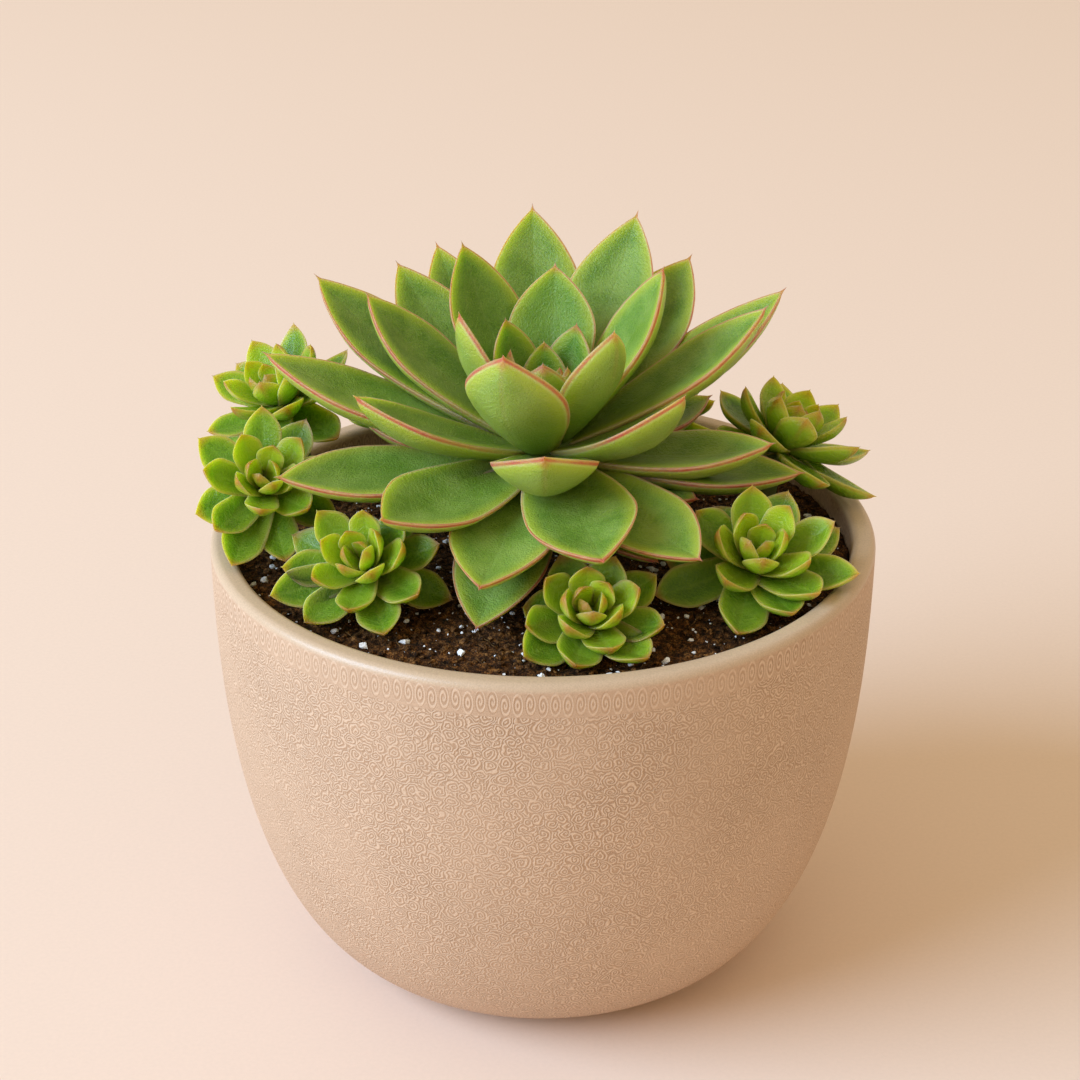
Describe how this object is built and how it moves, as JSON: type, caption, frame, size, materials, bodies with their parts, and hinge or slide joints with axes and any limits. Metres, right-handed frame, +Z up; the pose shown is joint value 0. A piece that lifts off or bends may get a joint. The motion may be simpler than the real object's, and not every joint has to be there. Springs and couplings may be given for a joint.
{
  "type": "potted echeveria",
  "caption": "Round stoneware pot of soil with a large fleshy-leaved rosette and smaller offset rosettes round it.",
  "frame": {"origin": "middle of the pot's flat base, on the surface that it stands on", "axes": "+Z up along the pot's axis, the front of the plant looks along -Y, +X to its right"},
  "size_m": [0.185, 0.18, 0.1987],
  "materials": {
    "stoneware": "matte",
    "soil": "matte",
    "leaf": "satin",
    "young_leaf": "satin"
  },
  "bodies": {
    "root": {"pot": "stoneware", "soil": "soil", "main_rosette": "leaf", "offset_left_rear": "young_leaf", "offset_left": "young_leaf", "offset_front_left": "young_leaf", "offset_front": "young_leaf", "offset_front_right": "young_leaf", "offset_right_rear": "young_leaf", "offset_rear_right": "young_leaf", "offset_rear_left": "young_leaf"}
  },
  "joints": []
}
